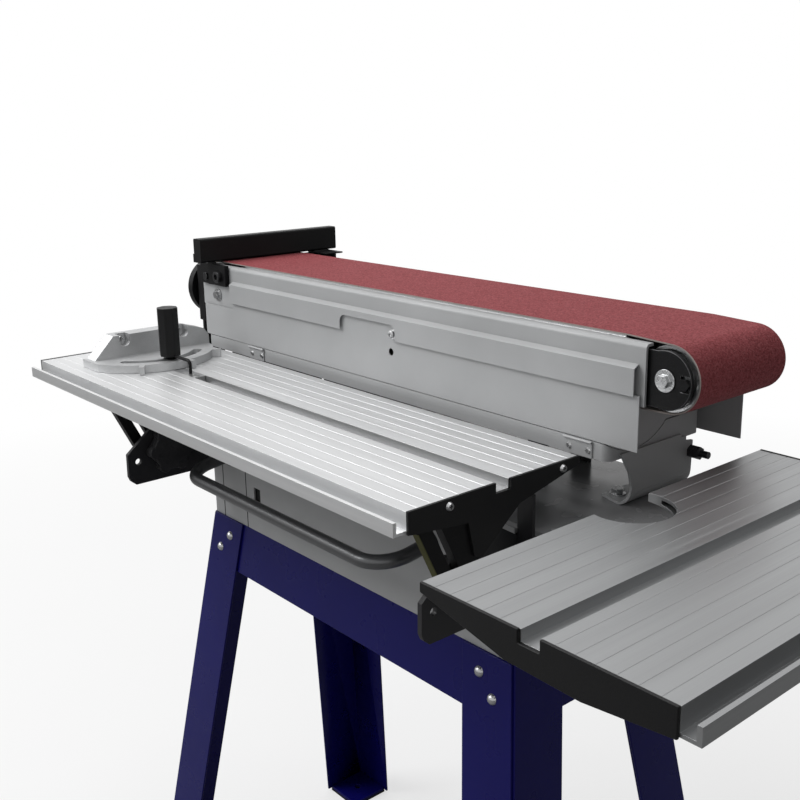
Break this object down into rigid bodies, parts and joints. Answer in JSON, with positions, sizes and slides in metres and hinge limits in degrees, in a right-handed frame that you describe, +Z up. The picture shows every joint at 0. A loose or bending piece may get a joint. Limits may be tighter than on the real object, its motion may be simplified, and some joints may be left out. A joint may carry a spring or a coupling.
{
  "type": "edge sander",
  "caption": "Belt edge sander whose long belt unit tips upright, with a tilting front table, mitre gauge and sliding end table on a splayed sheet steel stand.",
  "frame": {"origin": "centre of the four floor bolt holes, at floor level", "axes": "+X along the sanding belt from the drive drum to the idler drum, +Y from the front table to the back, +Z up"},
  "size_m": [1.2088, 0.738, 1.0342],
  "materials": {
    "grey_paint": "satin",
    "dark_paint": "satin",
    "black_paint": "matte",
    "blue_paint": "satin",
    "tube_paint": "metallic satin",
    "zinc": "satin",
    "table_aluminium": "satin extruded",
    "end_aluminium": "satin extruded",
    "gauge_aluminium": "satin cast",
    "black_plastic": "fine grain",
    "green_plastic": "gloss",
    "red_plastic": "gloss",
    "abrasive": "coarse grit",
    "rubber": "matte"
  },
  "bodies": {
    "base": {"bed_plate": "grey_paint", "front_panel": "grey_paint", "back_panel": "grey_paint", "end_panels": "grey_paint", "stand_legs": "blue_paint", "long_aprons": "blue_paint", "short_aprons": "blue_paint", "machine_bolts": "zinc", "foot_pads": "rubber", "tube_handle": "tube_paint", "left_trunnion": "black_paint", "right_trunnion": "dark_paint", "level_stop": "dark_paint", "rest_bracket": "grey_paint", "dust_pan": "grey_paint", "pan_clips": "zinc", "pan_supports": "dark_paint", "dust_outlet": "black_plastic", "pivot_arm": "grey_paint", "pivot_stand": "black_paint", "end_table_rods": "zinc", "switch_box": "black_plastic"},
    "start_button": {"start_button": "green_plastic"},
    "stop_button": {"stop_button": "red_plastic"},
    "clamp_lever": {"clamp_lever": "black_plastic"},
    "belt_unit": {"belt_frame": "grey_paint", "drive_end_plate": "black_paint", "motor_plate": "dark_paint", "platen": "dark_paint", "sanding_belt": "abrasive", "skirt_rail": "grey_paint", "near_skirt": "grey_paint", "far_skirt": "grey_paint", "frame_screws": "zinc", "fence": "black_paint", "fence_brackets": "black_paint", "drum_bearings": "dark_paint", "motor_body": "grey_paint", "motor_cover": "black_plastic", "drive_guard": "black_paint", "v_belt": "rubber"},
    "drive_drum": {"drive_drum": "zinc", "drum_pulley": "dark_paint"},
    "motor_rotor": {"motor_rotor": "dark_paint"},
    "idler_yoke": {"idler_yoke": "black_paint", "idler_axle": "zinc"},
    "idler_drum": {"idler_drum": "zinc"},
    "tracking_screw": {"tracking_screw": "black_paint"},
    "front_table": {"front_table": "table_aluminium", "table_caps": "black_plastic", "table_brackets": "black_paint"},
    "left_knob": {"left_knob": "black_plastic"},
    "right_knob": {"right_knob": "black_plastic"},
    "gauge_bar": {"gauge_bar": "zinc"},
    "gauge_head": {"gauge_head": "gauge_aluminium"},
    "gauge_handle": {"gauge_handle": "black_plastic"},
    "end_table": {"end_table": "end_aluminium", "end_table_caps": "black_plastic", "end_table_carriage": "dark_paint"}
  },
  "joints": [
    {"name": "belt_tilt", "type": "hinge", "parent": "base", "child": "belt_unit", "pos_m": [-0.1465, 0.0125, 0.949], "axis": [1, 0, 0], "range_deg": [0, 90]},
    {"name": "drum_spin", "type": "hinge", "parent": "belt_unit", "child": "drive_drum", "pos_m": [-0.4279, 0.0605, 0.9464], "axis": [0, 1, 0], "continuous": true},
    {"name": "motor_spin", "type": "hinge", "parent": "belt_unit", "child": "motor_rotor", "pos_m": [-0.3265, 0.1605, 0.875], "axis": [0, 1, 0], "continuous": true},
    {"name": "belt_tension", "type": "slide", "parent": "belt_unit", "child": "idler_yoke", "axis": [1, 0, 0], "range_m": [-0.012, 0]},
    {"name": "idler_spin", "type": "hinge", "parent": "idler_yoke", "child": "idler_drum", "pos_m": [0.4121, 0.0605, 0.9591], "axis": [0, 1, 0], "continuous": true},
    {"name": "tracking_turn", "type": "hinge", "parent": "idler_yoke", "child": "tracking_screw", "pos_m": [0.4346, -0.0195, 0.9591], "axis": [0, 1, 0], "range_deg": [-180, 180]},
    {"name": "clamp_lever_turn", "type": "hinge", "parent": "base", "child": "clamp_lever", "pos_m": [-0.5015, -0.0035, 0.856], "axis": [1, 0, 0], "range_deg": [-60, 60]},
    {"name": "table_tilt", "type": "hinge", "parent": "base", "child": "front_table", "pos_m": [-0.0005, -0.1775, 0.826], "axis": [1, 0, 0], "range_deg": [0, 30]},
    {"name": "left_knob_turn", "type": "hinge", "parent": "front_table", "child": "left_knob", "pos_m": [-0.2965, -0.187, 0.761], "axis": [1, 0, 0], "range_deg": [-180, 180]},
    {"name": "right_knob_turn", "type": "hinge", "parent": "front_table", "child": "right_knob", "pos_m": [0.2955, -0.187, 0.761], "axis": [1, 0, 0], "range_deg": [-180, 180]},
    {"name": "gauge_slide", "type": "slide", "parent": "front_table", "child": "gauge_bar", "axis": [1, 0, 0], "range_m": [0, 0.56]},
    {"name": "gauge_swivel", "type": "hinge", "parent": "gauge_bar", "child": "gauge_head", "pos_m": [-0.4015, -0.161, 0.875], "axis": [0, 0, 1], "range_deg": [-45, 45]},
    {"name": "gauge_handle_turn", "type": "hinge", "parent": "gauge_bar", "child": "gauge_handle", "pos_m": [-0.3265, -0.161, 0.91], "axis": [0, 0, 1], "range_deg": [-180, 180]},
    {"name": "end_table_slide", "type": "slide", "parent": "base", "child": "end_table", "axis": [1, 0, 0], "range_m": [-0.044, 0.1]},
    {"name": "start_press", "type": "slide", "parent": "base", "child": "start_button", "axis": [1, 0, 0], "range_m": [0, 0.004], "stiffness_N_per_m": 400},
    {"name": "stop_press", "type": "slide", "parent": "base", "child": "stop_button", "axis": [1, 0, 0], "range_m": [0, 0.004], "stiffness_N_per_m": 400}
  ],
  "couplings": [
    {"joint": "idler_spin", "follows": "drum_spin", "ratio": 1.4521},
    {"joint": "motor_spin", "follows": "drum_spin", "ratio": 1.3333}
  ]
}
